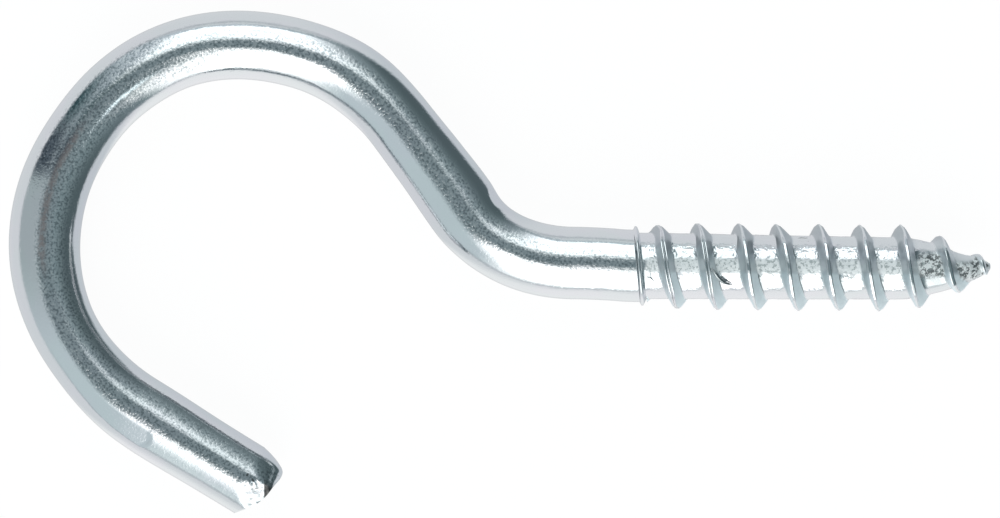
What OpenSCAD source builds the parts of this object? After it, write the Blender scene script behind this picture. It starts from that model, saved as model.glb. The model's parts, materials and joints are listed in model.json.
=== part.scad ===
// Screw hook: a question-mark hook bent from one length of round steel wire, with a
// wood-screw thread and a pinched point rolled on its straight end.
// It lies flat. The screw axis runs along +X from the thread's first ring to the tip,
// the hook's bowl stands off towards +Y, and the wire's centre line is in the plane Z = 0.

/* [Wire] */
// Diameter of the wire
wire_d = 5.9; // [5:0.1:8]
// How much thinner the wire is drawn where it is bent
bend_draw = 0.04; // [0.02:0.01:0.3]

/* [Hook] */
// Straight shank between the thread and the neck
shank_len = 5; // [5:0.1:60]
// Radius of the neck bend, at the wire's centre line
neck_radius = 11.6; // [8:0.1:25]
// Angle that the neck bend turns away from the screw axis
neck_angle = 53.3; // [20:0.1:75]
// Straight length between the neck bend and the bowl
neck_len = 8.2; // [1:0.1:30]
// Radius of the bowl, at the wire's centre line
bowl_radius = 16.15; // [12:0.05:40]
// Angle that the wire turns round the bowl
bowl_angle = 202; // [150:0.5:215]
// Straight tail from the bowl to the cut end
tail_len = 12.65; // [8:0.05:30]

/* [Cut end] */
// Slant of the cut across the tail, from square
cut_slant = 30; // [0:1:40]
// Slope of each of the two cut faces, from the ridge where they meet
cut_bevel = 24; // [5:1:35]
// Where the slant starts, from the tail's axis towards the mouth
cut_corner = -0.3; // [-1.5:0.1:1.5]
// Length of the nipped corner along the tail
nip_len = 2.2; // [0.5:0.1:4]
// Depth of the nipped corner into the wire
nip_depth = 0.85; // [0.2:0.05:1.8]

/* [Thread] */
// Threaded length from the first ring to the tip
screw_len = 29; // [20:0.5:80]
// Distance between turns of the thread
thread_pitch = 3.3; // [2.6:0.05:4]
// Height of the thread's crest above the wire's surface
crest_rise = 0.585; // [0.3:0.005:1]
// Depth of the root below the wire's surface, beside the first ring
root_depth = 0.24; // [0.1:0.01:0.5]
// Depth of the root below the wire's surface, where the point begins
root_end_depth = 0.42; // [0.1:0.01:0.9]
// Width of the thread ridge at its root
ridge_w = 1.43; // [0.8:0.01:2]
// Width of the land on the ridge's crest
land_w = 0.16; // [0.05:0.01:0.4]
// Length over which the ridge grows towards its full height
run_in = 1.6; // [0.5:0.1:5]

/* [First ring] */
// Height above the wire's surface of the ring that ends the plain shank
ring_rise = 0.3; // [0.1:0.05:0.8]
// Length of the ring along the screw axis
ring_len = 0.95; // [0.4:0.05:2]

/* [Point] */
// Length of the point
point_len = 6.8; // [4:0.1:14]
// Fullness of the point: 1 is a straight cone and less is rounder
point_shape = 0.57; // [0.4:0.01:1]
// Length at the tip over which the turns crowd together
crowd_len = 1.5; // [0.8:0.1:3]

/* [Hidden] */
$fn = 72;
wire_r = wire_d / 2;
// The bends reach this angle further round, into the straight stretches beside them
bend_seat = 0.4;
// Size of the blocks that cut the tail's end
block = 4 * wire_d;
point_start = screw_len - point_len;
crest_r = wire_r + crest_rise;
// The ridge leaves the ring on the -Y side and is half a pitch on when it comes round to +Y
thread_lead = thread_pitch / 2;
// The ridge starts to grow this far behind the ring's peak, inside the shank
run_back = 0.7;
// Points round one turn of the thread
turn_steps = 40;
// The ridge's section over one pitch: distance along the axis, and share of the ridge's height
ridge = [
    [-ridge_w / 2, 0],
    [-land_w / 2, 1],
    [land_w / 2, 1],
    [ridge_w / 2, 0],
    [thread_pitch / 2, 0]
];
section_steps = len(ridge);
// The first turns lie inside the shank, and the last two crowd round the tip
first_turn = -2;
last_turn = ceil(screw_len / thread_pitch) + 2;
rows = (last_turn - first_turn) * section_steps;

// Share of its full radius that the screw keeps at a station along the point
function fullness(x) = x < point_start ? 1 : pow((screw_len - x) / point_len, point_shape);

// Radius of the screw's root
function root_r(x) =
    let (share = min(max(x / point_start, 0), 1))
    fullness(x) * (wire_r - root_depth - share * (root_end_depth - root_depth));

// Height of the ridge above the root
function ridge_h(x) =
    let (grown = 1 - exp(-max(x + run_back, 0) / run_in))
    grown * (fullness(x) * crest_r - root_r(x));

// Stations past the crowded stretch close up towards the tip and never reach it
function crowded(x) =
    x < screw_len - crowd_len ? x
    : screw_len - crowd_len * exp((screw_len - crowd_len - x) / crowd_len);

// A point of the threaded skin, from its step round the turn and its row along the screw
function thread_point(step, row) =
    let (
        turn = first_turn + floor(row / section_steps) + step / turn_steps,
        section = ridge[row % section_steps],
        angle = 360 * step / turn_steps,
        x = crowded(thread_lead + thread_pitch * turn + section[0]),
        r = root_r(x) + section[1] * ridge_h(x)
    )
    [x, r * cos(angle), r * sin(angle)];

// Number of that point. A row that has gone once round runs on into the row a pitch further
function thread_index(step, row) =
    step < turn_steps ? row * turn_steps + step : (row + section_steps) * turn_steps;

// Straight wire along +X, with what follows it at its far end
module straight(length) {
    rotate([0, 90, 0])
        cylinder(h = length, d = wire_d);
    translate([length, 0, 0])
        children();
}

// Wire bent to the left of its run, or to the right where the angle is negative,
// with what follows it at its far end
module bend(radius, angle) {
    side = sign(angle);
    translate([0, side * radius, 0]) {
        rotate([0, 0, -side * (90 + bend_seat)])
            rotate_extrude(angle = angle + 2 * side * bend_seat)
                translate([radius, 0])
                    circle(d = wire_d - bend_draw);
        rotate([0, 0, angle])
            translate([0, -side * radius, 0])
                children();
    }
}

// The two slanted faces that the cutter's jaws leave, meeting in a ridge
module cut_faces() {
    translate([tail_len, cut_corner, 0])
        rotate([0, 0, -cut_slant])
            for (side = [-1, 1])
                rotate([0, side * cut_bevel, 0])
                    translate([0, -block / 2, -block / 2])
                        cube(block);
}

// The corner nipped off on the mouth's side
module nipped_corner() {
    translate([tail_len - nip_len, wire_r, 0])
        rotate([0, 0, -atan(nip_depth / nip_len)])
            translate([-block / 2, 0, -block / 2])
                cube(block);
}

module tail() {
    difference() {
        rotate([0, 90, 0])
            cylinder(h = tail_len, d = wire_d);
        cut_faces();
        nipped_corner();
    }
}

module bent_wire() {
    rotate([0, 0, 180])
        straight(shank_len)
            bend(neck_radius, -neck_angle)
                straight(neck_len)
                    bend(bowl_radius, bowl_angle)
                        tail();
}

// The ring of metal that the thread rolls push up at the end of the plain shank
module first_ring() {
    rotate([0, 90, 0])
        rotate_extrude()
            polygon([
                [0, -ring_len / 2],
                [wire_r - bend_draw, -ring_len / 2],
                [wire_r + ring_rise, 0],
                [wire_r - root_depth - bend_draw, ring_len / 2],
                [0, ring_len / 2]
            ]);
}

// The threaded screw with its point, as one closed skin
module threaded_screw() {
    start_hub = rows * turn_steps;
    tip_hub = start_hub + 1;
    skin = [
        for (row = [0 : rows - 2], step = [0 : turn_steps - 1])
            if (step < turn_steps - 1 || row + 1 + section_steps < rows)
                let (
                    a = thread_index(step, row),
                    b = thread_index(step, row + 1),
                    c = thread_index(step + 1, row + 1),
                    d = thread_index(step + 1, row)
                )
                each [[a, b, c], [a, c, d]]
    ];
    start_rim = concat(
        [for (step = [0 : turn_steps]) thread_index(step, 0)],
        [for (row = [section_steps - 1 : -1 : 0]) thread_index(0, row)]
    );
    tip_rim = concat(
        [thread_index(turn_steps, rows - 1 - section_steps)],
        [for (row = [rows - 1 - section_steps : rows - 1]) thread_index(turn_steps - 1, row)],
        [for (step = [turn_steps - 2 : -1 : 0]) thread_index(step, rows - 1)]
    );
    polyhedron(
        points = concat(
            [for (row = [0 : rows - 1], step = [0 : turn_steps - 1]) thread_point(step, row)],
            [[thread_point(0, 0)[0], 0, 0], [screw_len, 0, 0]]
        ),
        faces = concat(
            skin,
            [for (i = [0 : len(start_rim) - 2]) [start_hub, start_rim[i], start_rim[i + 1]]],
            [for (i = [0 : len(tip_rim) - 2]) [tip_hub, tip_rim[i], tip_rim[i + 1]]]
        )
    );
}

module screw_hook() {
    color("silver") {
        bent_wire();
        first_ring();
        threaded_screw();
    }
}

screw_hook();
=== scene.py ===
import json
import math
from types import SimpleNamespace

import bmesh
import bpy
from mathutils import Matrix, Vector, noise


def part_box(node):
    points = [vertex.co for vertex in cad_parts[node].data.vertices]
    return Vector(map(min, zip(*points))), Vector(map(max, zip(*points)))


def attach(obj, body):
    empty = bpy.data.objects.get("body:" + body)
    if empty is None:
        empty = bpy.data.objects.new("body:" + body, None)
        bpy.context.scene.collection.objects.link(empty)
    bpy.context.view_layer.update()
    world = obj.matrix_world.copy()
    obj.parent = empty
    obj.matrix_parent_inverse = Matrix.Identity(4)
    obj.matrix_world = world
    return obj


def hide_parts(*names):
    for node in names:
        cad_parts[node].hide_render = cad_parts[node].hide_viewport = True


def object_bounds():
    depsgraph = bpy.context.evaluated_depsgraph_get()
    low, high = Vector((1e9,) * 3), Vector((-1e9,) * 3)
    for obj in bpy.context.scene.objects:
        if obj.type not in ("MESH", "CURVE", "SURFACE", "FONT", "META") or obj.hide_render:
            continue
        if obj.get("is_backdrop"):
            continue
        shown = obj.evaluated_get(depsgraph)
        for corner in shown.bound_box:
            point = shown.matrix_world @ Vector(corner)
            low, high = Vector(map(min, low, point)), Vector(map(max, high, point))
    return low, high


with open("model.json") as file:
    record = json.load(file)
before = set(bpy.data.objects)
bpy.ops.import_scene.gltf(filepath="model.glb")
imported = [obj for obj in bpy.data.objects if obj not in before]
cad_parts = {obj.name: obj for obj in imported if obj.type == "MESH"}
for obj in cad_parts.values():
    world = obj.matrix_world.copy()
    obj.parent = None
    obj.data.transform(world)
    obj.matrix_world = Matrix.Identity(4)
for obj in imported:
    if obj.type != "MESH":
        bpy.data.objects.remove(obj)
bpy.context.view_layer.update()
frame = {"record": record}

# ---------------------------------------------------------------------------
# Driving sizes of the hook, in metres and degrees
# ---------------------------------------------------------------------------
mm = 0.001
mounts = {m["name"]: m for m in frame["record"]["mounts"]}
hook_low, hook_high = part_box("screw_hook")

# the wire and its bends, from the first ring to the cut end
wire_r = mounts["tail"]["dims"]["r_mm"] * mm
shank_len = 5.0 * mm
neck_radius, neck_angle, neck_len = 11.6 * mm, 53.3, 8.2 * mm
bowl_radius, bowl_angle = 16.15 * mm, 202.0
tail_len = mounts["tail"]["dims"]["length_mm"] * mm

# the screw, from the first ring to the point
screw_len = hook_high.x
thread_pitch = 3.3 * mm
crest_rise = 0.585 * mm
root_depth, root_end_depth = 0.24 * mm, 0.42 * mm
ridge_w, crest_w = 1.43 * mm, 0.25 * mm
# the ridge starts this far behind the first ring, and grows at this pace
run_back, run_in = 0.7 * mm, 1.6 * mm
# the point narrows over its length, and the turns crowd together at its end
point_len, point_shape = 6.8 * mm, 0.57
crowd_len = 1.5 * mm
# where the first ring ends on the core, and where the threaded skin begins
ring_end, core_start = 0.36 * mm, 0.42 * mm

# how finely the skin is divided
wire_sides, turn_steps = 96, 120
wire_step, fine_step = 0.5 * mm, 0.13 * mm

# the run of the wire from the first ring to the cut end: (length, turn)
# a negative turn is to the right of somebody walking along the wire
run = [
    (shank_len, 0.0),
    (neck_radius * math.radians(neck_angle), -neck_angle),
    (neck_len, 0.0),
    (bowl_radius * math.radians(bowl_angle), bowl_angle),
    (tail_len, 0.0),
]
wire_len = sum(length for length, turn in run)
# from here to its end the wire is drawn over to the slant of the sheared face
slant_start = wire_len - 5.2 * mm


def smooth(value, low, high):
    """0 below low, 1 above high, and an easy curve between them."""
    t = min(max((value - low) / (high - low), 0.0), 1.0)
    return t * t * (3 - 2 * t)


def bump(value, middle, half):
    """1 at the middle, easing to 0 at half to either side."""
    return 1 - smooth(abs(value - middle), 0.0, half)


def along(table, value):
    """The value of a table of (place, amount) pairs, on an easy curve through its rows."""
    if value <= table[0][0]:
        return table[0][1]
    if value >= table[-1][0]:
        return table[-1][1]
    k = next(i for i in range(1, len(table)) if value <= table[i][0])
    (a, fa), (b, fb) = table[k - 1], table[k]
    before = table[max(k - 2, 0)]
    after = table[min(k + 1, len(table) - 1)]
    slope_a = (fb - before[1]) / (b - before[0])
    slope_b = (after[1] - fa) / (after[0] - a)
    w = b - a
    t = (value - a) / w
    return (
        (2 * t ** 3 - 3 * t * t + 1) * fa + (t ** 3 - 2 * t * t + t) * w * slope_a
        + (3 * t * t - 2 * t ** 3) * fb + (t ** 3 - t * t) * w * slope_b
    )


# How far the bent wire strays to its right hand from the true run, and how much
# fuller or thinner its half width is there, both in mm against mm from the ring.
stray = [
    (0, 0.0), (5, 0.18), (12, -0.06), (14, -0.05), (16, 0.07), (20, 0.08), (25, -0.02),
    (30, 0.03), (36, -0.08), (44, 0.05), (50, -0.1), (55, -0.25), (60, -0.13), (66, 0.0),
    (71, -0.01), (76, -0.11), (83, 0.05), (94, 0.0),
]
swell = [
    (0, 0.0), (8, 0.0), (13, -0.06), (16, 0.08), (20, -0.02), (25, -0.13), (29, -0.05),
    (34, -0.13), (44, -0.14), (48, -0.1), (54, -0.14), (62, -0.03), (66, -0.05), (74, -0.21),
    (82, 0.09), (88, 0.0), (94, -0.03),
]

# The sheared end: how far it falls short of the full length across the wire, from the
# mouth side to the outer side. Its edge is rolled over: how far back the roll starts
# and how deep it goes. All are in mm.
shear = [
    (-2.95, 2.3), (-2.8, 1.65), (-2.5, 0.75), (-2.1, 0.05), (-1.5, -0.15), (-0.6, -0.03),
    (0.5, 0.1), (1.5, 0.5), (2.95, 1.55),
]
roll_back = [
    (-2.95, 0.5), (-2.5, 1.6), (-1.9, 2.5), (-1.3, 2.5), (-0.7, 2.0), (-0.2, 0.9),
    (0.3, 0.35), (0.8, 0.12), (2.95, 0.08),
]
roll_deep = [
    (-2.95, 0.3), (-2.5, 1.1), (-1.9, 1.7), (-1.3, 1.6), (-0.7, 0.8), (-0.2, 0.4),
    (0.3, 0.2), (0.8, 0.12), (2.95, 0.08),
]

# Flats pressed into the wire: (from, full at, full to, end, lean to the right hand in
# degrees, depth), lengths in mm from the ring. The first is the clamp's, the second
# the dent inside the neck.
flats = [
    (74.5, 81.5, 82.95, 83.25, 32.0, 0.11),
    (13.1, 14.0, 14.9, 15.9, 64.0, 0.10),
]

# How far forward the foot and the crest of each ridge are pushed on the far side of
# the screw, in mm against mm along it.
far_foot = [
    (1.7, 0.27), (5.0, 0.32), (8.3, 0.45), (11.5, 0.26), (14.9, 0.08), (18.1, 0.19),
    (21.4, 0.15), (24.6, 0.02),
]
far_crest = [
    (1.7, 0.08), (5.0, 0.0), (8.3, 0.07), (11.5, -0.2), (14.9, 0.0), (18.1, 0.05),
    (21.4, 0.07), (24.6, 0.12),
]

# Slivers of metal that the rolling dies tore up, each as its path in mm (along the
# screw, across it, off its axis) and its width at each of those points.
slivers = [
    ([(6.12, -0.12, 3.42), (6.35, -0.45, 3.42), (6.6, -0.8, 3.34), (6.9, -1.1, 3.18),
      (7.25, -1.32, 3.0), (7.55, -1.41, 2.86), (7.85, -1.44, 2.72)],
     [0.14, 0.27, 0.33, 0.33, 0.27, 0.18, 0.06]),
    ([(0.5, -0.9, 2.72), (0.7, -0.93, 2.8), (0.95, -0.98, 2.79), (1.2, -1.12, 2.78),
      (1.45, -1.36, 2.7)],
     [0.04, 0.08, 0.08, 0.07, 0.03]),
]


# ---------------------------------------------------------------------------
# The bent wire
# ---------------------------------------------------------------------------
# The hook is first made as a straight blank along X, and then bent. The screw lies
# at positive x and the wire at negative x, with its right-hand side at positive y.
def station(s):
    """Middle of the wire and its heading, s along it from the first ring."""
    place = Vector((0.0, 0.0, 0.0))
    heading = math.pi
    left = s
    for length, turn in run:
        part = min(left, length)
        if turn == 0.0:
            place = place + Vector((math.cos(heading), math.sin(heading), 0)) * part
        else:
            radius = length / math.radians(abs(turn))
            side = 1 if turn > 0 else -1
            new = heading + side * part / radius
            place = place + Vector((
                side * radius * (math.sin(new) - math.sin(heading)),
                side * radius * (math.cos(heading) - math.cos(new)),
                0,
            ))
            heading = new
        left -= part
    ahead = Vector((math.cos(heading), math.sin(heading), 0))
    return place + ahead * max(left, 0.0), heading


def bend(point):
    """Takes a point of the straight blank to its place on the bent hook."""
    if point.x >= 0:
        return Vector(point)
    s = -point.x
    place, heading = station(s)
    right = Vector((math.sin(heading), -math.cos(heading), 0))
    # the wire keeps its true width and place where the ring sits on it
    grown = smooth(s, 0.25 * mm, 2 * mm)
    wide = 1 + grown * along(swell, s / mm) * mm / wire_r
    aside = grown * along(stray, s / mm) * mm
    return place + right * (point.y * wide + aside) + Vector((0, 0, point.z))


def pressed(point):
    """Presses the flats into the round wire of the blank."""
    half_width, end_bow = 0.85 * mm, 0.45
    lip, lip_past, lip_half = 0.02, 0.15, 0.35
    s = -point.x / mm
    for start, full, full_end, end, lean, depth in flats:
        if not start < s < end + lip_past + end_bow:
            continue
        a = math.radians(lean)
        out = point.y * math.sin(a) + point.z * math.cos(a)
        over = (point.y * math.cos(a) - point.z * math.sin(a)) / half_width
        # the far end of the flat is bowed, and stands up in a low lip
        late = end_bow * over * over
        deep = smooth(s, start, full) * (1 - smooth(s + late, full_end, end))
        raised = lip * bump(s + late, end + lip_past, lip_half)
        level = wire_r - (deep * depth - raised) * mm
        if out > level:
            point = point - Vector((0, math.sin(a), math.cos(a))) * (out - level)
    return point


def end_face(y, z):
    """How far along the wire its sheared end lies, over a point of the section."""
    half = math.sqrt(max(wire_r ** 2 - y * y, 1e-12)) / mm
    deep = min(along(roll_deep, y / mm), 0.96 * half)
    share = min(max(1 - (half - abs(z) / mm) / deep, 0.0), 1.0)
    rolled = along(roll_back, y / mm) * (1 - math.sqrt(1 - share ** 2))
    return wire_len - (along(shear, y / mm) + rolled) * mm


def torn_facet(s, y):
    """Height of the torn facet on the upper corner of the sheared end."""
    tilt = math.tan(math.radians(24))
    behind = (s - (wire_len - 1.68 * mm)) * 0.8 + y * 0.6
    rough = noise.noise(Vector((s, y, 0)) / (0.28 * mm)) * 0.085 * mm
    rough += noise.noise(Vector((s, y, 0.01)) / (0.9 * mm)) * 0.07 * mm
    return 0.992 * wire_r - behind * tilt + rough


def lower_of(a, b, ease):
    """The lower of two heights, with the corner between them eased."""
    low, gap = min(a, b), abs(a - b)
    return low - ease * math.log(1 + math.exp(-gap / ease))


def sheared(point, rim):
    """Places a point of the blank's last stretch on the sheared end."""
    s = -point.x
    y, z = point.y, point.z
    if rim:
        turn = math.atan2(z, y)
        last = end_face(wire_r * math.cos(turn), wire_r * math.sin(turn))
        s = slant_start + (s - slant_start) * (last - slant_start) / (wire_len - slant_start)
    else:
        s = end_face(y, z)
    facet_reach, facet_ease = 2.6 * mm, 0.035 * mm
    if s > wire_len - facet_reach:
        z = lower_of(z, torn_facet(s, y), facet_ease)
    return Vector((-s, y, z))


# ---------------------------------------------------------------------------
# The screw
# ---------------------------------------------------------------------------
def fullness(x):
    """How much of its full radius the screw has at x."""
    start = screw_len - point_len
    if x < start:
        return 1.0
    return max((screw_len - x) / point_len, 0.0) ** point_shape


def root_r(x):
    """Radius of the core between the ridges at x."""
    share = min(max(x / (screw_len - point_len), 0.0), 1.0)
    depth = root_depth + share * (root_end_depth - root_depth)
    return fullness(x) * (wire_r - depth)


def ridge_h(x):
    """Height of the ridge over the core at x."""
    grown = 1 - math.exp(-max(x + run_back, 0.0) / run_in)
    return grown * (fullness(x) * (wire_r + crest_rise) - root_r(x))


def crowded(x):
    """The turns draw together towards the point."""
    start = screw_len - crowd_len
    if x < start:
        return x
    return screw_len - crowd_len * math.exp((start - x) / crowd_len)


def ridge_outline():
    """One pitch of the ridge's outline: (place along the screw, share of the rise)."""
    half, land = ridge_w / 2, crest_w / 2
    foot, flank = half - 0.02 * mm, half - land - 0.05 * mm
    side = [
        (half + 0.42 * mm, 0.0), (half + 0.06 * mm, 0.0), (foot, 0.045),
        (foot - 0.2 * flank, 0.2), (foot - 0.5 * flank, 0.5), (foot - 0.8 * flank, 0.8),
        (land + 0.045 * mm, 0.93), (land, 0.985), (land * 0.7, 1.0), (land * 0.4, 1.0),
        (land * 0.12, 1.0),
    ]
    behind = [(-thread_pitch / 2, 0.0)] + [(-x, rise) for x, rise in side]
    ahead = [(x, rise) for x, rise in reversed(side)] + [(thread_pitch / 2, 0.0)]
    return behind + [(0.0, 1.0)] + ahead


def spin_screw(bm, profile, start, end):
    """Spins the outline along the screw and cuts the skin off square at start and end."""
    turns_before, turns_after = 2, 1
    screw_turns = math.ceil((screw_len + 3 * crowd_len) / thread_pitch)
    turns = turns_before + screw_turns + turns_after
    begin = thread_pitch / 2 - turns_before * thread_pitch
    outline = ridge_outline()
    verts = [bm.verts.new((begin + x, wire_r * (1 + rise), 0)) for x, rise in outline]
    for v, (x, rise) in zip(verts, outline):
        v[profile] = Vector((x, rise, 0))
    edges = [bm.edges.new(pair) for pair in zip(verts, verts[1:])]
    bmesh.ops.spin(
        bm, geom=verts + edges, cent=(0, 0, 0), axis=(1, 0, 0),
        dvec=(thread_pitch / turn_steps, 0, 0),
        angle=2 * math.pi * turns, steps=turn_steps * turns,
        use_merge=False, use_normal_flip=False, use_duplicate=False,
    )
    bmesh.ops.remove_doubles(bm, verts=bm.verts, dist=0.004 * mm)
    for place, outer in ((start, False), (end, True)):
        geom = bm.verts[:] + bm.edges[:] + bm.faces[:]
        bmesh.ops.bisect_plane(
            bm, geom=geom, dist=0.002 * mm, plane_co=(place, 0, 0), plane_no=(1, 0, 0),
            clear_outer=outer, clear_inner=not outer,
        )


def screw_skin(bm):
    """The threaded skin, with its ridges, core and point as the rolling dies left them."""
    profile = bm.verts.layers.float_vector.new("profile")
    half, land = ridge_w / 2, crest_w / 2
    # once the turns are crowded, the skin ends this far short of the screw's length
    short = 0.16 * mm
    tip = screw_len - crowd_len + crowd_len * math.log(crowd_len / short)
    spin_screw(bm, profile, core_start, tip)
    for v in bm.verts:
        radius = math.hypot(v.co.y, v.co.z)
        share = max(radius / wire_r - 1, 0.0)
        over = v[profile].x
        middle = v.co.x - over
        round_y, round_z = v.co.y / radius, v.co.z / radius
        # nothing moves along the screw at its two open rims, which stay flat
        free = smooth(v.co.x, core_start, core_start + 0.9 * mm)
        settle = free * (1 - smooth(v.co.x, screw_len - 0.6 * mm, screw_len))
        free *= 1 - smooth(v.co.x, tip - 0.4 * mm, tip)
        # the first turns are rolled twice, which leaves a groove along the crest
        twice = smooth(middle, 1.2 * mm, 2.0 * mm) * (1 - smooth(middle, 5.6 * mm, 7.2 * mm))
        near = max(1 - abs(over) / (0.42 * half), 0.0)
        near *= smooth(abs(over), 0.45 * land, 0.65 * land)
        x = v.co.x + math.copysign(0.12 * mm, over) * twice * near
        # the crest comes to a point at the sides and leans back on the far side
        x -= free * over * 0.7 * smooth(abs(round_y), 0.5, 0.95) * smooth(share, 0.85, 0.98)
        foot_on, crest_on = along(far_foot, middle / mm), along(far_crest, middle / mm)
        moved = smooth(round_y, 0.45, 1.0) * (foot_on + share * (crest_on - foot_on))
        moved += smooth(-round_y, 0.3, 1.0) * (0.16 - 0.08 * share)
        x += settle * moved * mm
        share -= 0.10 * twice * (1 - smooth(abs(over), 0.1 * land, 0.38 * land))
        # crest and core waver a little, as rolled threads do
        spot = Vector((middle / (1.1 * mm), 1.4 * round_y, 1.4 * round_z))
        fine = Vector((v.co.x / (0.45 * mm), 4.5 * round_y, 4.5 * round_z))
        x += settle * 0.045 * mm * noise.noise(spot) * (0.4 + share)
        waver = 0.07 * noise.noise(spot * 1.7) + 0.05 * (1 - twice) * noise.noise(spot * 4)
        share *= 1 + settle * waver
        x = crowded(x)
        wanted = root_r(x) + share * ridge_h(x)
        core = settle * (1 - smooth(share, 0.0, 0.3)) * fullness(x) * mm
        wanted += core * 0.06 * noise.noise(spot * 0.8 + Vector((9, 0, 0)))
        wanted += core * 0.025 * noise.noise(fine)
        # the last stretch of core is leaner on the far side
        lean = smooth(x, 25.2 * mm, 26.1 * mm) * (1 - smooth(x, 26.6 * mm, 27.8 * mm))
        wanted -= 0.2 * mm * lean * smooth(round_y, 0.2, 0.9) * (1 - smooth(share, 0.0, 0.5))
        v.co = Vector((x, round_y * wanted, round_z * wanted))


# ---------------------------------------------------------------------------
# The straight blank, and the hook bent from it
# ---------------------------------------------------------------------------
def open_rim(bm, x):
    """The open edges of the skin that lie in the plane at x."""
    return [
        e for e in bm.edges
        if e.is_boundary and all(abs(v.co.x - x) < 0.01 * mm for v in e.verts)
    ]


def extruded(bm, rim):
    """Extrudes an open rim on the spot: its new points and its new edges."""
    made = bmesh.ops.extrude_edge_only(bm, edges=rim)["geom"]
    verts = [g for g in made if isinstance(g, bmesh.types.BMVert)]
    chosen = set(verts)
    edges = [
        g for g in made
        if isinstance(g, bmesh.types.BMEdge) and all(v in chosen for v in g.verts)
    ]
    return verts, edges


def push(bm, rim, along_x, scale=1.0):
    """Extrudes an open rim along the blank and makes it wider or narrower."""
    verts, edges = extruded(bm, rim)
    bmesh.ops.scale(bm, vec=(1, scale, scale), verts=verts)
    bmesh.ops.translate(bm, vec=(along_x, 0, 0), verts=verts)
    return edges


def wire_places(start):
    """Places of the loops along the wire, closer where it is marked or cut."""
    fine = [(12 * mm, 17.5 * mm, 2), (82.2 * mm, 84.4 * mm, 1), (slant_start, wire_len, 1)]
    s, places = start, []
    while s < wire_len - 0.5 * fine_step:
        step = wire_step
        for low, high, by in fine:
            if low - 1e-9 <= s < high:
                step = fine_step * by
        s = min(s + step, wire_len)
        places.append(s)
    return places


def close_point(bm):
    """Closes the point of the screw with a few narrowing loops."""
    rim = open_rim(bm, max(v.co.x for v in bm.verts))
    for step, shrink in ((0.03, 0.86), (0.03, 0.7), (0.02, 0.5)):
        rim = push(bm, rim, step * mm, shrink)
    bmesh.ops.contextual_create(bm, geom=rim)


def ring_and_wire(bm):
    """The first ring and the wire, pushed out from a circle on the screw's core."""
    radius = root_r(ring_end)
    made = bmesh.ops.create_circle(
        bm, cap_ends=False, segments=wire_sides, radius=1.0,
        matrix=Matrix.Translation((ring_end, 0, 0)) @ Matrix.Rotation(math.pi / 2, 4, "Y"),
    )
    circle = made["verts"]
    rim = list({e for v in circle for e in v.link_edges})
    bmesh.ops.scale(bm, vec=(1, radius, radius), verts=circle)
    # the ring's section: (place along the blank in mm, radius)
    ring = [
        (0.31, root_r(0) + 0.01 * mm), (0.25, wire_r - 0.02 * mm),
        (0.17, wire_r + 0.17 * mm), (0.09, wire_r + 0.27 * mm),
        (0.0, wire_r + 0.31 * mm), (-0.09, wire_r + 0.24 * mm),
        (-0.17, wire_r + 0.06 * mm), (-0.21, wire_r + 0.01 * mm), (-0.24, wire_r),
        (-0.29, wire_r),
    ]
    here, now = ring_end, radius
    for x, r in ring:
        rim = push(bm, rim, x * mm - here, r / now)
        here, now = x * mm, r
    for s in wire_places(-here):
        rim = push(bm, rim, -s - here)
        here = -s
    return rim


def close_cut_end(bm, rim):
    """Closes the wire with narrowing loops and lays them on the sheared face."""
    before = set(bm.verts)
    loops = 30
    shrink = [math.cos(math.pi / 2 * k / (loops + 0.4)) for k in range(loops + 1)]
    for k in range(loops):
        rim = push(bm, rim, 0, shrink[k + 1] / shrink[k])
    bmesh.ops.contextual_create(bm, geom=rim)
    for v in bm.verts:
        if v not in before:
            v.co = sheared(v.co, False)
        elif -v.co.x > slant_start:
            v.co = sheared(v.co, True)


def settled(point):
    """The first ring is rolled on a slant and the point leans a little to one side."""
    x, y, z = point
    radius = max(math.hypot(y, z), 0.01 * mm)
    near = 1 - smooth(abs(x), 0.3 * mm, 1.9 * mm)
    x += near * (0.22 - 0.30 * y / radius) * mm
    past = max(x - 25 * mm, 0.0) / (4 * mm)
    return Vector((x, y * (1 - 0.09 * past) + 0.2 * mm * past ** 2, z))


def sliver(bm, path, widths):
    """A sliver of metal along the path, closed at both ends."""
    profile = bm.verts.layers.float_vector["profile"]
    points = [Vector((x, y, math.sqrt(r * r - y * y))) * mm for x, y, r in path]
    places = []
    for k, point in enumerate(points):
        ahead = points[min(k + 1, len(points) - 1)] - points[max(k - 1, 0)]
        turn = ahead.to_track_quat("Z", "Y").to_matrix().to_4x4()
        flat = Matrix.Diagonal((widths[k] * mm, widths[k] * 0.6 * mm, 1, 1))
        places.append(Matrix.Translation(point) @ turn @ flat)
    made = bmesh.ops.create_circle(
        bm, cap_ends=True, segments=10, radius=0.5, matrix=places[0],
    )
    every = list(made["verts"])
    rim = [e for e in {e for v in every for e in v.link_edges} if e.is_boundary]
    for before, after in zip(places, places[1:]):
        verts, rim = extruded(bm, rim)
        bmesh.ops.transform(bm, matrix=after @ before.inverted(), verts=verts)
        every += verts
    bmesh.ops.contextual_create(bm, geom=rim)
    for v in every:
        v[profile] = Vector((0, 0, 1))


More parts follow.
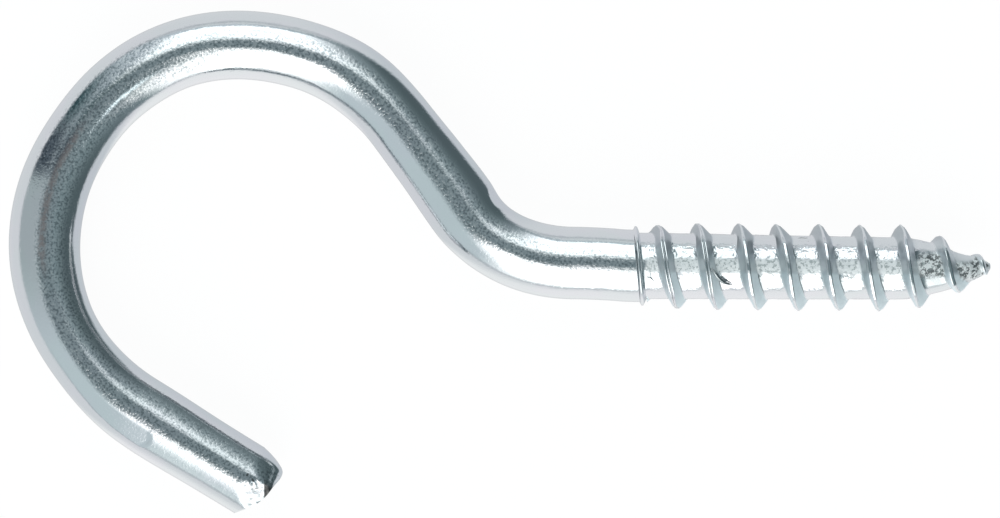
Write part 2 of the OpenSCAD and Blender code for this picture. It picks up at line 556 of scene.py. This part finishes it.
def build_hook():
    """The whole hook in one closed skin, bent from the straight blank."""
    bm = bmesh.new()
    screw_skin(bm)
    close_point(bm)
    close_cut_end(bm, ring_and_wire(bm))
    bmesh.ops.bridge_loops(bm, edges=open_rim(bm, core_start) + open_rim(bm, ring_end))
    for path, widths in slivers:
        sliver(bm, path, widths)
    bmesh.ops.remove_doubles(bm, verts=bm.verts, dist=0.002 * mm)
    bmesh.ops.recalc_face_normals(bm, faces=bm.faces)
    # the plating is laid out on the straight blank, in mm
    blank = bm.verts.layers.float_vector.new("blank")
    for v in bm.verts:
        v[blank] = v.co / mm
    for v in bm.verts:
        v.co = bend(pressed(settled(v.co)))
    for f in bm.faces:
        f.smooth = True
    mesh = bpy.data.meshes.new("hook_wire")
    bm.to_mesh(mesh)
    bm.free()
    hook = bpy.data.objects.new("hook_wire", mesh)
    bpy.context.scene.collection.objects.link(hook)
    return hook


hook = build_hook()
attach(hook, "root")
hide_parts("screw_hook")


# ---------------------------------------------------------------------------
# Small helpers for the node trees
# ---------------------------------------------------------------------------
class Tree:
    """A node tree with short calls for the nodes used here."""

    def __init__(self, owner):
        owner.use_nodes = True
        self.tree = owner.node_tree
        self.tree.nodes.clear()

    def add(self, kind, **settings):
        """A new node with these settings."""
        node = self.tree.nodes.new(kind)
        for name, value in settings.items():
            setattr(node, name, value)
        return node

    def put(self, socket, value):
        """Links an output to the socket, or sets a plain value or colour on it."""
        if isinstance(value, bpy.types.NodeSocket):
            self.tree.links.new(value, socket)
        elif socket.type == "RGBA":
            socket.default_value = (*value, 1.0)
        else:
            socket.default_value = value

    def maths(self, operation, *values, clamp=False):
        """One sum of plain numbers or outputs."""
        node = self.add("ShaderNodeMath", operation=operation, use_clamp=clamp)
        for socket, value in zip(node.inputs, values):
            self.put(socket, value)
        return node.outputs[0]

    def times(self, *values):
        """The values multiplied together."""
        result = values[0]
        for value in values[1:]:
            result = self.maths("MULTIPLY", result, value)
        return result

    def total(self, start, *terms):
        """The start plus every (value, weight) pair multiplied out."""
        for value, weight in terms:
            start = self.maths("MULTIPLY_ADD", value, weight, start)
        return start

    def vector(self, operation, *values):
        """One sum of vectors, which gives a vector or, for a length or a dot, a number."""
        node = self.add("ShaderNodeVectorMath", operation=operation)
        for socket, value in zip(node.inputs, values):
            self.put(socket, value)
        return node.outputs["Value" if operation in ("DOT_PRODUCT", "LENGTH") else "Vector"]

    def parts(self, value):
        """The three parts of a vector."""
        node = self.add("ShaderNodeSeparateXYZ")
        self.put(node.inputs[0], value)
        return node.outputs

    def ease(self, value, low, high, start=0.0, end=1.0):
        """From start at low to end at high, on an easy curve."""
        node = self.add("ShaderNodeMapRange", interpolation_type="SMOOTHSTEP", clamp=True)
        for name, item in zip(("Value", "From Min", "From Max", "To Min", "To Max"),
                              (value, low, high, start, end)):
            self.put(node.inputs[name], item)
        return node.outputs["Result"]

    def within(self, value, low, high, soft):
        """1 between low and high, with soft edges."""
        return self.times(self.ease(value, low - soft, low + soft),
                          self.ease(value, high + soft, high - soft))

    def blend(self, factor, first, second):
        """The first colour where the factor is 0, the second where it is 1."""
        node = self.add("ShaderNodeMix", data_type="RGBA")
        self.put(node.inputs["Factor"], factor)
        self.put(node.inputs["A"], first)
        self.put(node.inputs["B"], second)
        return node.outputs["Result"]

    def noise(self, where, scale, detail=2.0, rough=0.5, stretch=(1, 1, 1)):
        """Smooth unevenness at so many cells to a millimetre of the blank."""
        spread = self.add("ShaderNodeMapping")
        self.put(spread.inputs["Vector"], where)
        spread.inputs["Scale"].default_value = stretch
        node = self.add("ShaderNodeTexNoise")
        self.put(node.inputs["Vector"], spread.outputs[0])
        node.inputs["Scale"].default_value = scale
        node.inputs["Detail"].default_value = detail
        node.inputs["Roughness"].default_value = rough
        return node.outputs["Fac"]


# ---------------------------------------------------------------------------
# Zinc plating on drawn wire
# ---------------------------------------------------------------------------
# Colours of the plating, among them painted reflection, light and shade: red, green and blue
zinc = (0.80, 0.835, 0.85)
lilac_film = (0.815, 0.828, 0.858)
# painted brown reflection along the top of the bowl
brown_rub = (0.78, 0.63, 0.60)
handled_dark, handled_pale = (0.37, 0.41, 0.425), (1.0, 1.0, 1.0)
nick_grey = (0.12, 0.13, 0.13)
# the ridges' blue tint, then painted shade for the far flanks and painted light for the near
# flanks
ridge_blue, ridge_shade, painted_flank_light = (0.61, 0.69, 0.73), (0.21, 0.26, 0.285), (0.89, 0.97, 1.0)
root_chalk, root_worn, root_speck = (0.97, 1.0, 1.0), (0.27, 0.33, 0.33), (0.22, 0.27, 0.27)
pit_black = (0.07, 0.085, 0.09)
# painted dark reflection along the edge of the sheared face
bare_steel = (0.04, 0.04, 0.038)
torn_metal = (0.20, 0.24, 0.25)

# Two nicks and a scratch beside the cut end, on the blank: (along, across, half length,
# half width) in mm, and the turn in degrees
nicks = [
    (-91.3, -0.36, 0.17, 0.09, 75),
    (-91.92, -0.22, 0.2, 0.1, -30),
    (-92.5, 0.22, 0.5, 0.05, 42),
]


def plating_places(t):
    """Where the plating differs: masks over the straight blank, in its millimetres."""
    blank = t.add("ShaderNodeAttribute", attribute_name="blank").outputs["Vector"]
    profile = t.add("ShaderNodeAttribute", attribute_name="profile").outputs["Vector"]
    x, y, z = t.parts(blank)
    over, rise, torn = t.parts(profile)
    at = SimpleNamespace(blank=blank, x=x, y=y, z=z, torn=torn)
    at.speckle = t.noise(blank, 5.2, 1.0, 0.5)
    at.waves = t.noise(blank, 1.3, 2.0, 0.5, (0.5, 1, 1))
    at.on_wire = t.ease(x, 0.0, -0.6)
    # the ridges' flanks: the near side of the screw, and the flank towards the point
    at.flank = t.times(t.ease(rise, 0.02, 0.12), t.ease(rise, 0.97, 0.9))
    # the near side's flanks get painted light: pale and less metallic
    at.near_side = t.times(at.flank, t.ease(y, -0.15, -0.7))
    at.towards_point = t.ease(over, 0.0, 0.0002)
    # the core: a dull band along its top, worn through in places, and dark specks
    at.core = t.times(t.ease(x, 0.3, 1.0), t.ease(rise, 0.12, 0.0))
    at.dull = t.times(at.core, t.ease(y, -0.7, -0.25), t.ease(y, 0.9, 0.4), t.ease(z, 1.0, 1.5))
    at.worn = t.times(at.dull, t.ease(t.noise(blank, 3.8, 2.0, 0.6), 0.51, 0.61))
    specks = t.ease(t.noise(blank, 2.9, 3.0, 0.75), 0.57, 0.65)
    at.specks = t.times(specks, at.core, t.ease(z, 2.2, 2.5))
    # the last of the core, where the plating is pitted
    at.cone = t.times(t.ease(x, 25.6, 26.1), t.ease(rise, 0.4, 0.1), t.ease(z, 0.0, 0.3))
    from_left = t.maths("SUBTRACT", y, t.ease(x, 24.8, 26.2, -0.65, -0.95))
    right = t.maths("ADD", t.ease(x, 24.8, 26.2, 1.2, 0.45), t.ease(x, 27.2, 27.8, 0.0, 0.5))
    from_right = t.maths("SUBTRACT", right, y)
    at.pitted = t.times(t.ease(from_left, -0.3, 0.3), t.ease(from_right, -0.3, 0.3),
                        t.ease(x, 22.7, 23.4), t.ease(rise, 0.4, 0.1), t.ease(z, 0.05, 0.4))
    at.pits = t.times(t.ease(t.noise(blank, 3.0, 3.0, 0.7), 0.49, 0.57), at.pitted)
    # the wire is speckled where it was handled: along the top, and all round the
    # left shoulder of the bowl up to where the clamp held it
    inner = t.ease(x, -34.0, -42.0, -0.75, -1.75)
    outer = t.maths("ADD", t.ease(x, -43.0, -47.0, 1.4, 2.1),
                    t.ease(x, -58.2, -58.9, 0.0, -1.4))
    handled = t.times(t.ease(t.maths("SUBTRACT", y, inner), -0.35, 0.35),
                      t.ease(t.maths("SUBTRACT", outer, y), -0.25, 0.25))
    at.handled = t.times(handled, t.ease(z, 0.3, 1.2), at.on_wire)
    # a brown reflection painted along the top of the bowl
    rub = t.times(t.within(x, -66.5, -54.5, 1.5), t.within(y, -0.12, 0.4, 0.22),
                  t.ease(z, 0, 0.5))
    at.rub = t.times(rub, t.ease(t.noise(blank, 2.2, 2.0, 0.6), 0.36, 0.56, 0.25, 0.9))
    # a painted dark reflection in a strip along the edge of the sheared face
    edge_at, edge_lean = 0.486 - wire_len / mm, -0.62
    past_edge = t.total(t.maths("SUBTRACT", edge_at, x), (y, edge_lean))
    at.bare = t.times(t.ease(past_edge, -0.04, 0.08), t.ease(y, -1.0, -0.25),
                      t.ease(y, 0.78, 0.62), t.ease(z, 0.3, 0.8))
    return at


def plating_height(t, at):
    """Grain, lines left by the drawing die, soft waves, a rough core and pits."""
    grain = t.noise(at.blank, 6.0, 2.0, 0.6)
    lines = t.noise(at.blank, 7.0, 2.0, 0.5, (0.07, 1, 1))
    rough_core = t.noise(at.blank, 3.1, 1.0, 0.5)
    calm = t.times(t.ease(at.x, 22.0, 23.5, 1.0, 0.25), t.ease(at.z, 1.3, 2.2, 0.15, 1.0),
                   t.ease(at.y, -0.7, 0.1, 0.4, 1.0))
    return t.total(
        t.maths("MULTIPLY", grain, t.total(0.32, (at.flank, -0.2))),
        (lines, t.times(at.on_wire, 0.2)),
        (at.waves, 1.2),
        (t.ease(at.speckle, 0.56, 0.68), t.times(at.on_wire, 0.16)),
        (rough_core, t.times(at.core, calm, 6.5)),
        (at.pits, -2.0),
    )


def nick(t, at, along_x, across, half_len, half_wide, turn):
    """A long round mark on the top of the wire."""
    c, s = math.cos(math.radians(turn)), math.sin(math.radians(turn))
    off = t.vector("SUBTRACT", at.blank, (along_x, across, 0))
    one = t.vector("DOT_PRODUCT", off, (c / half_len, s / half_len, 0))
    two = t.vector("DOT_PRODUCT", off, (-s / half_wide, c / half_wide, 0))
    far = t.maths("ADD", t.maths("MULTIPLY", one, one), t.maths("MULTIPLY", two, two))
    return t.times(t.ease(far, 1.3, 0.4), t.ease(at.z, 0.5, 1.0), 0.8)


def plating_colour(t, at):
    """Cool zinc with faint lilac films, and over it what handling and rolling left, along with
    painted light: a brown reflection, pale near flanks, shaded far flanks and a dark strip at
    the sheared edge.
    """
    film = t.ease(t.noise(at.blank, 0.45, 2.0, 0.5, (0.5, 1, 1)), 0.42, 0.62)
    dark = t.times(at.handled, t.ease(at.speckle, 0.49, 0.36), 0.8)
    pale = t.times(at.handled, t.ease(at.speckle, 0.53, 0.64),
                   t.ease(at.x, -81.0, -75.0, 0.45, 0.9))
    # painted shade on the far side's flanks
    shaded = t.times(at.flank, t.ease(at.y, 1.5, 2.9, 0.0, 0.4))
    chalky = t.maths("MAXIMUM", t.times(at.dull, 0.8), t.times(at.pitted, 0.85))
    layers = [(film, lilac_film), (dark, handled_dark), (pale, handled_pale)]
    layers += [(nick(t, at, *place), nick_grey) for place in nicks]
    layers += [
        # painted brown reflection
        (at.rub, brown_rub),
        (t.times(at.flank, 0.25), ridge_blue),
        (shaded, ridge_shade),
        # painted light on the near side's flanks
        (t.times(at.near_side, 0.95), painted_flank_light),
        (t.times(at.specks, 0.7), root_speck),
        (chalky, root_chalk),
        (t.times(at.pits, 0.9), pit_black),
        (t.times(at.worn, 0.66), root_worn),
        # painted dark reflection along the sheared edge
        (t.times(at.bare, 0.93), bare_steel),
        (t.times(at.torn, 0.7), torn_metal),
    ]
    colour = zinc
    for mask, finish in layers:
        colour = t.blend(mask, colour, finish)
    return colour


def zinc_plate():
    """Bright zinc plating, chalky in the roots, with painted light on the near side of the
    ridges: paler there and less metallic.
    """
    material = bpy.data.materials.new("zinc_plate")
    t = Tree(material)
    metal = t.add("ShaderNodeBsdfPrincipled")
    at = plating_places(t)
    t.put(metal.inputs["Base Color"], plating_colour(t, at))
    # the near flanks towards the point are made less metallic so that their painted light shows
    painted_lit_flank = t.times(at.near_side, at.towards_point)
    chalk_and_painted_light = t.total(t.times(at.dull, 0.75), (painted_lit_flank, 0.55), (at.pitted, 0.45))
    t.put(metal.inputs["Metallic"], t.maths("SUBTRACT", 1.0, chalk_and_painted_light, clamp=True))
    rough = t.total(
        0.05,
        (at.waves, 0.08),
        (at.flank, 0.26),
        (at.core, 0.05),
        (t.maths("MAXIMUM", at.pitted, at.cone), 0.3),
        (at.dull, 0.42),
        (at.near_side, t.total(0.18, (at.towards_point, 0.27))),
    )
    t.put(metal.inputs["Roughness"], rough)
    dent = t.add("ShaderNodeBump")
    dent.inputs["Strength"].default_value = 1.0
    dent.inputs["Distance"].default_value = 0.012 * mm
    t.put(dent.inputs["Height"], plating_height(t, at))
    t.put(metal.inputs["Normal"], dent.outputs[0])
    out = t.add("ShaderNodeOutputMaterial")
    t.put(out.inputs["Surface"], metal.outputs[0])
    return material


hook.data.materials.append(zinc_plate())


# ---------------------------------------------------------------------------
# Room light: soft boxes and a window over a pale table
# ---------------------------------------------------------------------------
def seen_as(red, green, blue):
    """The light that the plating shows as this colour."""
    return (red / zinc[0], green / zinc[1], blue / zinc[2])


class Room(Tree):
    """Light from all round, masked over directions that are laid out flat.

    A direction is so many degrees away from straight up, with +X to the right and
    +Y forward. A bearing is in degrees from +X, turning towards +Y.
    """

    def __init__(self, owner):
        super().__init__(owner)
        way = self.add("ShaderNodeTexCoord").outputs["Generated"]
        x, y, z = self.parts(way)
        squares = self.maths("ADD", self.times(x, x), self.times(y, y))
        level = self.maths("MAXIMUM", self.maths("SQRT", squares), 0.0001)
        self.along_x = self.maths("DIVIDE", x, level)
        self.along_y = self.maths("DIVIDE", y, level)
        self.off_top = self.times(self.maths("ARCCOSINE", z), math.degrees(1))
        flat = self.add("ShaderNodeCombineXYZ")
        for socket, part in zip(flat.inputs, (self.along_x, self.along_y)):
            self.put(socket, self.times(part, self.off_top))
        self.flat = flat.outputs[0]

    def toward(self, bearing):
        """How many degrees from straight up, counted along the bearing."""
        b = math.radians(bearing)
        return self.vector("DOT_PRODUCT", self.flat, (math.cos(b), math.sin(b), 0))

    def edge(self, bearing, start, soft):
        """All that lies past a straight edge which faces the bearing."""
        return self.ease(self.toward(bearing), start - soft, start + soft)

    def clear_of_top(self, start, soft):
        """All but the round patch straight up."""
        return self.ease(self.off_top, start - soft, start + soft)

    def wedge(self, bearing, half, start, soft):
        """A wedge that opens along the bearing, half wide to either side in degrees."""
        wide = self.times(self.off_top, math.tan(math.radians(half)))
        off = self.maths("DIVIDE", self.maths("ABSOLUTE", self.toward(bearing + 90)), wide)
        return self.times(self.ease(off, 1.5, 0.5), self.edge(bearing, start, soft))

    def spot(self, x, y, dark, full):
        """A round spot, dark degrees from its middle and full nearer in."""
        off = self.vector("SUBTRACT", self.flat, (x, y, 0))
        return self.ease(self.vector("LENGTH", off), dark, full)

    def corner(self, bearing, start):
        """A band of bearings round this one, whatever the height."""
        return self.ease(self.maths("DIVIDE", self.toward(bearing), self.off_top), start, 1.0)


def lamps(t):
    """The soft boxes, the window and the dark wall between them."""
    north = t.edge(90, 0, 0.5)
    layers = [
        (t.edge(192, 27, 10), (0.44, 0.53, 0.56)),
        (t.times(t.edge(250, 25, 14), t.edge(-38, 16, 16)), (1.07, 1.15, 1.16)),
        (t.edge(15, 23, 11), (0.17, 0.23, 0.25)),
        (t.edge(13, 47, 29), (0.07, 0.10, 0.11)),
        (t.wedge(164, 30, 22, 10), (0.31, 0.37, 0.39)),
        (t.wedge(136.5, 10.5, 16, 3.5), (0.01, 0.05, 0.06)),
        (t.wedge(154, 6.5, 2, 23), (0.06, 0.08, 0.10)),
        (t.spot(16, 22.5, 12.0, 2.5), (0.44, 0.52, 0.55)),
        (t.times(t.edge(34, -11, 18), t.edge(173, -13, 30), t.clear_of_top(31, 11), north),
         (0.41, 0.49, 0.53)),
        (t.times(t.edge(12, -11, 7), t.edge(173, -11.5, 12), t.clear_of_top(25, 12),
                 t.edge(-87, -69, 3), north), (1.30, 1.44, 1.47)),
        (t.times(t.edge(-3, -19, 15), t.edge(194, 5, 9), t.edge(-50, 7, 4),
                 t.edge(65, -75, 4), t.edge(88, -94, 4)), (2.03, 2.11, 2.12)),
        (t.spot(19, -23, 8.2, -0.5), (1.29, 1.52, 1.59)),
        (t.edge(93, 78, 3.5), (0.59, 0.64, 0.66)),
    ]
    light = seen_as(0.16, 0.21, 0.23)
    for mask, colour in layers:
        light = t.blend(mask, light, seen_as(*colour))
    return light


def under_table_edge(t):
    """How many degrees below the edge of the table, which is met later on some sides."""
    edge_at = t.total(
        90.5,
        (t.along_x, 8.3),
        (t.along_y, -0.7),
        (t.times(t.along_x, t.along_x), 6.6),
        (t.times(t.along_x, t.along_y), -4.9),
        (t.corner(225, 0.80), 6.0),
        (t.corner(28, 0.86), 17.0),
    )
    return t.maths("SUBTRACT", t.off_top, edge_at)


def table_light(t):
    """The pale table: brighter on its near side, duller to the right and straight below."""
    light = t.blend(t.ease(t.toward(10), 35.0, 105.0),
                    seen_as(0.58, 0.62, 0.65), seen_as(0.485, 0.535, 0.575))
    light = t.blend(t.ease(t.toward(-85), 76.0, 108.0), light, seen_as(0.75, 0.785, 0.80))
    straight_down = t.ease(t.off_top, 140, 174, 0.0, 0.6)
    return t.blend(straight_down, light, seen_as(0.44, 0.47, 0.49))


def room_light():
    """The room mirrored in the plating; the camera itself sees plain white."""
    world = bpy.data.worlds.new("studio")
    bpy.context.scene.world = world
    t = Room(world)
    light = lamps(t)
    # a shaded gap above the far and near edges of the table
    under = under_table_edge(t)
    far_and_near = t.ease(t.maths("ABSOLUTE", t.along_y), 0.35, 0.75)
    gap = t.times(t.ease(under, -11.0, 2.2), far_and_near)
    light = t.blend(gap, light, seen_as(0.25, 0.30, 0.33))
    light = t.blend(t.ease(under, -5.9, 5.9), light, table_light(t))
    # one side of the bowl mirrored in the other is duller than the room itself
    path = t.add("ShaderNodeLightPath")
    dulled = t.maths("MAXIMUM", t.ease(t.off_top, 75, 55, 0.0, 0.4), t.edge(200, 12, 10))
    again = t.ease(path.outputs["Glossy Depth"], 1.2, 1.8)
    light = t.blend(t.times(again, dulled, 0.8), light, seen_as(0.055, 0.075, 0.085))
    mirrored = t.add("ShaderNodeBackground")
    t.put(mirrored.inputs["Color"], light)
    white = t.add("ShaderNodeBackground")
    t.put(white.inputs["Color"], (1, 1, 1))
    mix = t.add("ShaderNodeMixShader")
    t.put(mix.inputs[0], path.outputs["Is Camera Ray"])
    t.put(mix.inputs[1], mirrored.outputs[0])
    t.put(mix.inputs[2], white.outputs[0])
    out = t.add("ShaderNodeOutputWorld")
    t.put(out.inputs["Surface"], mix.outputs[0])


room_light()


# ---------------------------------------------------------------------------
# Floor
# ---------------------------------------------------------------------------
def white_board():
    """Matt white that keeps a faint shadow and otherwise shows as plain white."""
    material = bpy.data.materials.new("white_board")
    t = Tree(material)
    matt = t.add("ShaderNodeBsdfDiffuse")
    t.put(matt.inputs["Color"], (0.98, 0.98, 0.98))
    shine = t.add("ShaderNodeEmission")
    shine.inputs["Strength"].default_value = 1.04
    path = t.add("ShaderNodeLightPath")
    seen = t.maths("MAXIMUM", path.outputs["Is Camera Ray"], path.outputs["Is Glossy Ray"])
    seen = t.maths("MAXIMUM", seen, path.outputs["Is Transmission Ray"])
    mix = t.add("ShaderNodeMixShader")
    t.put(mix.inputs[0], t.times(seen, 0.9))
    t.put(mix.inputs[1], matt.outputs[0])
    t.put(mix.inputs[2], shine.outputs[0])
    out = t.add("ShaderNodeOutputMaterial")
    t.put(out.inputs["Surface"], mix.outputs[0])
    return material


def floor():
    """A wide floor that the hook lies on, which the plating doesn't mirror."""
    bm = bmesh.new()
    bmesh.ops.create_grid(bm, x_segments=1, y_segments=1, size=4.0)
    bmesh.ops.translate(bm, vec=(0, 0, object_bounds()[0].z), verts=bm.verts)
    mesh = bpy.data.meshes.new("floor")
    bm.to_mesh(mesh)
    bm.free()
    mesh.materials.append(white_board())
    plane = bpy.data.objects.new("floor", mesh)
    bpy.context.scene.collection.objects.link(plane)
    plane.visible_glossy = False
    plane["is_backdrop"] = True


bpy.context.view_layer.update()
floor()


# ---------------------------------------------------------------------------
# Camera: straight down, far off with a long lens
# ---------------------------------------------------------------------------
def camera():
    """Looks straight down on the hook, which fills the width but for a thin margin."""
    margin, roll = 1.017, math.radians(0.55)
    aside, forward = 0.01 * mm, 0.37 * mm
    data = bpy.data.cameras.new("camera")
    data.sensor_width = 36.0
    data.lens = 500.0
    data.clip_end = 10.0
    viewer = bpy.data.objects.new("camera", data)
    bpy.context.scene.collection.objects.link(viewer)
    away = margin * (hook_high.x - hook_low.x) * data.lens / data.sensor_width
    middle = (hook_low + hook_high) / 2
    viewer.location = (middle.x + aside, middle.y + forward, away)
    viewer.rotation_euler = (0, 0, roll)
    bpy.context.scene.camera = viewer


camera()
bpy.context.scene.view_settings.view_transform = "Standard"

bpy.context.view_layer.update()
